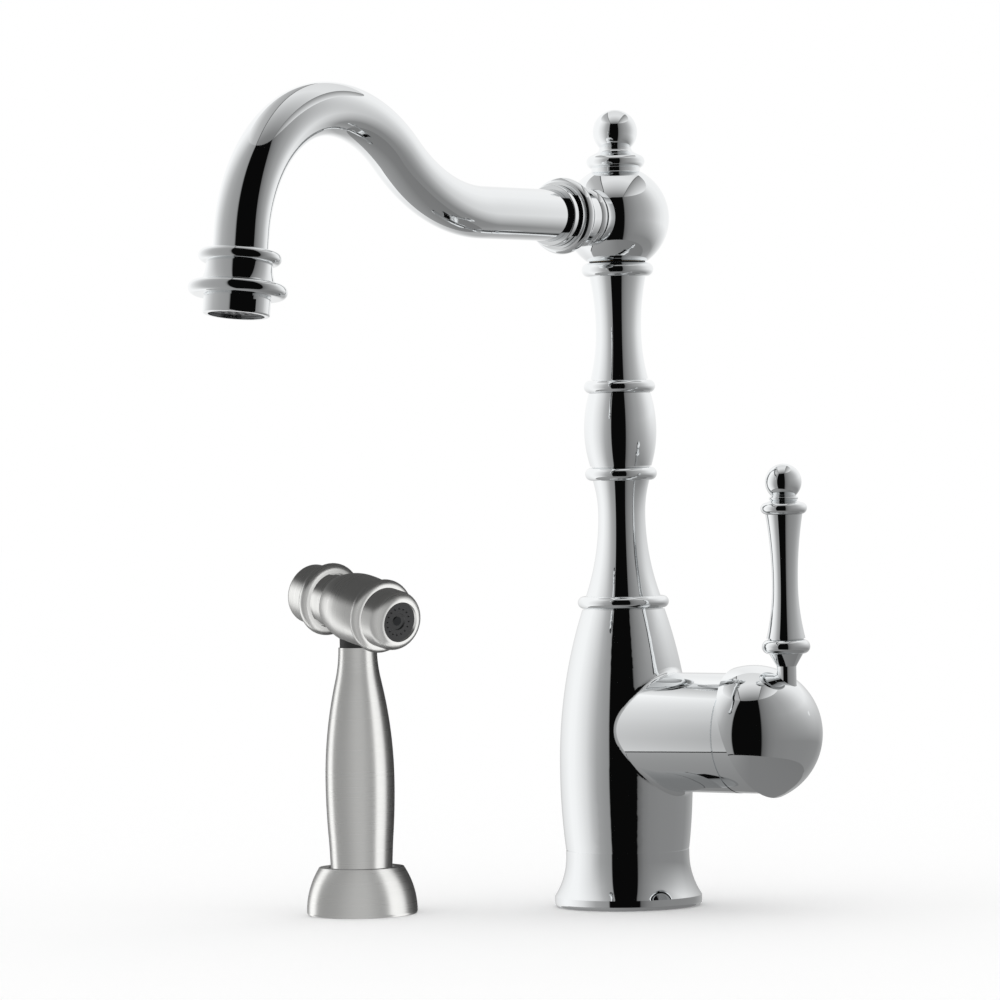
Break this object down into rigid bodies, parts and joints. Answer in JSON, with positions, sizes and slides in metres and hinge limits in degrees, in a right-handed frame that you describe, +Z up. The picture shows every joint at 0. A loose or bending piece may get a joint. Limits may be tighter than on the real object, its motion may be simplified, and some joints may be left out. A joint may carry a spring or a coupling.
{
  "type": "kitchen faucet with side spray",
  "caption": "Kitchen faucet with a lever handle on a side branch, turned column, ball hub, swan neck spout and a satin side spray in its own deck holder.",
  "frame": {"origin": "centre of the faucet's round foot, on the deck", "axes": "+Z up along the column, -Y towards the spout's outlet, +X along the valve branch towards the lever"},
  "size_m": [0.2147, 0.3202, 0.3484],
  "materials": {
    "polished_chrome": "polished",
    "satin_steel": "fine turned brushing",
    "brass": "machined",
    "steel": "plain",
    "black_rubber": "moulded",
    "black_plastic": "moulded",
    "screen_steel": "perforated",
    "ceramic": "lapped"
  },
  "bodies": {
    "root": {"base_flange": "polished_chrome", "base_gasket": "black_rubber", "valve_body": "polished_chrome", "band_ring": "polished_chrome", "column_lower": "polished_chrome", "column_barrel": "polished_chrome", "column_upper": "polished_chrome", "riser_tube": "brass", "diverter_valve": "black_plastic", "swivel_post": "brass", "swivel_o_ring_lower": "black_rubber", "swivel_o_ring_upper": "black_rubber", "swivel_washer": "black_plastic", "holding_washer": "steel", "holding_screw": "steel", "cartridge_housing": "black_plastic", "cartridge_base": "black_plastic", "fixed_disc": "ceramic", "cartridge_nut": "brass", "bonnet": "polished_chrome", "holder_flange": "satin_steel", "holder_gasket": "black_rubber", "holder_bush": "black_plastic"},
    "spout": {"spout_hub": "polished_chrome", "finial": "polished_chrome", "tube_seal": "black_rubber", "spout_collar": "polished_chrome", "spout_tube": "polished_chrome", "outlet_collar": "polished_chrome", "aerator_washer": "black_rubber", "aerator_housing": "polished_chrome", "aerator_insert": "black_plastic", "aerator_screen": "screen_steel"},
    "temperature_carrier": {"cartridge_carrier": "black_plastic", "pivot_pin": "brass"},
    "moving_disc": {"moving_disc": "ceramic"},
    "handle": {"cartridge_stem": "brass", "handle_dome": "polished_chrome", "handle_grub_screw": "steel", "lever_stem": "polished_chrome", "lever_grip": "polished_chrome", "lever_knob": "polished_chrome"},
    "hose_end": {"hose_nut": "brass"},
    "sprayer": {"spray_handle": "satin_steel", "hose_clip": "steel", "spray_head": "satin_steel", "neck_gasket": "black_rubber", "nozzle_cap": "satin_steel", "spray_face": "black_plastic", "spray_pin": "steel", "button_spring": "steel"},
    "spray_button": {"button_cap": "satin_steel", "button_plunger": "brass", "plunger_seal": "black_rubber"}
  },
  "joints": [
    {"name": "spout_swivel", "type": "hinge", "parent": "root", "child": "spout", "pos_m": [0, 0, 0.2986], "axis": [0, 0, 1], "continuous": true},
    {"name": "handle_turn", "type": "hinge", "parent": "root", "child": "temperature_carrier", "pos_m": [0.066, 0, 0.0758], "axis": [1, 0, 0], "range_deg": [-50, 50]},
    {"name": "handle_lift", "type": "hinge", "parent": "temperature_carrier", "child": "handle", "pos_m": [0.066, 0, 0.0758], "axis": [0, 1, 0], "range_deg": [0, 25]},
    {"name": "disc_slide", "type": "slide", "parent": "temperature_carrier", "child": "moving_disc", "axis": [0, 0, 1], "range_m": [0, 0.00716]},
    {"name": "spray_lift", "type": "slide", "parent": "root", "child": "hose_end", "axis": [0, 0, 1], "range_m": [0, 0.12]},
    {"name": "spray_turn", "type": "hinge", "parent": "hose_end", "child": "sprayer", "pos_m": [-0.08296, -0.08256, 0], "axis": [0, 0, 1], "continuous": true},
    {"name": "spray_press", "type": "slide", "parent": "sprayer", "child": "spray_button", "axis": [0.9409, -0.2877, -0.1788], "range_m": [0, 0.0045], "stiffness_N_per_m": 1500, "springref_m": -0.002, "deforming": ["button_spring"]}
  ],
  "couplings": [
    {"joint": "disc_slide", "follows": "handle_lift", "m_per_rad": 0.01629}
  ]
}
